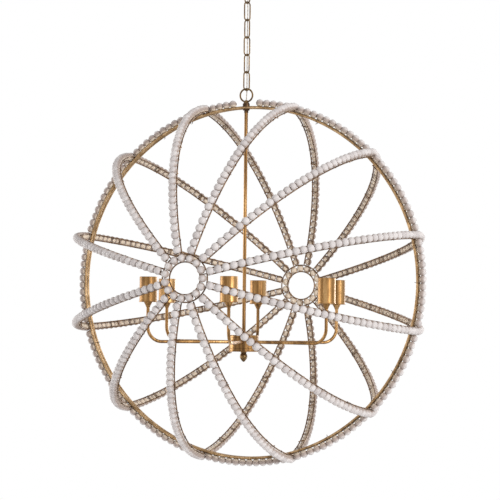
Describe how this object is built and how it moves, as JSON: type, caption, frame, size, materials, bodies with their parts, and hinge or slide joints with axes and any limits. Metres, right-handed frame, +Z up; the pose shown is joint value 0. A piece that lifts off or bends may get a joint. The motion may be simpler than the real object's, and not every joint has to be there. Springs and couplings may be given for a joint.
{
  "type": "beaded chandelier",
  "caption": "Globe chandelier of beaded wire ribs between two level pole rings, with an upright gold hoop, a stem, bent arms and candle cups, hung on a link chain.",
  "frame": {"origin": "centre of the ceiling crossbar's top face, midway between its two screw holes, on the stem's axis", "axes": "+Z up to the ceiling, -Y through the globe's front pole ring, +X to the viewer's right along the hoop"},
  "size_m": [0.8112, 0.809, 1.1352],
  "materials": {
    "rib_wire": "dark antique gold over steel wire",
    "gold_leaf": "rubbed gold leaf with brown patina",
    "antique_gold": "brushed antique gold",
    "antique_bronze": "dark antique gold",
    "zinc_steel": "zinc plated",
    "whitewashed_wood": "whitewashed, matt",
    "socket_black": "black phenolic",
    "lead_sleeve": "plain sleeve",
    "string_wire": "thin dark wire",
    "clear_cord": "clear sleeve over fine strands"
  },
  "bodies": {
    "canopy": {"canopy": "antique_gold", "mounting_crossbar": "zinc_steel", "canopy_nipple": "zinc_steel", "canopy_loop": "antique_bronze", "supply_cord": "clear_cord"},
    "link_1": {"chain_link_1": "antique_bronze"},
    "link_2": {"chain_link_2": "antique_bronze"},
    "link_3": {"chain_link_3": "antique_bronze"},
    "link_4": {"chain_link_4": "antique_bronze"},
    "link_5": {"chain_link_5": "antique_bronze"},
    "link_6": {"chain_link_6": "antique_bronze"},
    "globe": {"hanger_loop": "antique_bronze", "top_collar": "antique_bronze", "stem_nut": "antique_bronze", "stem_tube": "antique_gold", "hub_body": "antique_gold", "hub_cover": "antique_gold", "finial": "antique_bronze", "arm_1": "antique_gold", "arm_2": "antique_gold", "arm_3": "antique_gold", "arm_4": "antique_gold", "arm_5": "antique_gold", "arm_6": "antique_gold", "cup_couplings": "antique_gold", "cups": "antique_gold", "lampholders": "socket_black", "arm_leads": "lead_sleeve", "rib_01": "rib_wire", "rib_02": "rib_wire", "rib_03": "rib_wire", "rib_04": "rib_wire", "rib_05": "rib_wire", "rib_06": "rib_wire", "rib_07": "rib_wire", "rib_08": "rib_wire", "rib_09": "rib_wire", "rib_10": "rib_wire", "rib_11": "rib_wire", "rib_12": "rib_wire", "rib_rungs": "rib_wire", "rib_beads_01": "whitewashed_wood", "rib_beads_02": "whitewashed_wood", "rib_beads_03": "whitewashed_wood", "rib_beads_04": "whitewashed_wood", "rib_beads_05": "whitewashed_wood", "rib_beads_06": "whitewashed_wood", "rib_beads_07": "whitewashed_wood", "rib_beads_08": "whitewashed_wood", "rib_beads_09": "whitewashed_wood", "rib_beads_10": "whitewashed_wood", "rib_beads_11": "whitewashed_wood", "rib_beads_12": "whitewashed_wood", "hoop_rods": "gold_leaf", "hoop_beads": "whitewashed_wood", "front_ring": "rib_wire", "rear_ring": "rib_wire", "ring_beads": "whitewashed_wood", "bead_strings": "string_wire"}
  },
  "joints": [
    {"name": "canopy_loop_hinge", "type": "hinge", "parent": "canopy", "child": "link_1", "pos_m": [0, 0, -0.0724], "axis": [0.5, 0.866, 0], "range_deg": [-12, 12], "deforming": ["supply_cord"]},
    {"name": "link_1_hinge", "type": "hinge", "parent": "link_1", "child": "link_2", "pos_m": [0, 0, -0.1108], "axis": [0.866, -0.5, 0], "range_deg": [-12, 12], "deforming": ["supply_cord"]},
    {"name": "link_2_hinge", "type": "hinge", "parent": "link_2", "child": "link_3", "pos_m": [0, 0, -0.1496], "axis": [0.5, 0.866, 0], "range_deg": [-12, 12], "deforming": ["supply_cord"]},
    {"name": "link_3_hinge", "type": "hinge", "parent": "link_3", "child": "link_4", "pos_m": [0, 0, -0.1884], "axis": [0.866, -0.5, 0], "range_deg": [-12, 12], "deforming": ["supply_cord"]},
    {"name": "link_4_hinge", "type": "hinge", "parent": "link_4", "child": "link_5", "pos_m": [0, 0, -0.2272], "axis": [0.5, 0.866, 0], "range_deg": [-12, 12], "deforming": ["supply_cord"]},
    {"name": "link_5_hinge", "type": "hinge", "parent": "link_5", "child": "link_6", "pos_m": [0, 0, -0.266], "axis": [0.866, -0.5, 0], "range_deg": [-12, 12], "deforming": ["supply_cord"]},
    {"name": "link_6_hinge", "type": "hinge", "parent": "link_6", "child": "globe", "pos_m": [0, 0, -0.3048], "axis": [0.5, 0.866, 0], "range_deg": [-12, 12], "deforming": ["supply_cord"]}
  ]
}
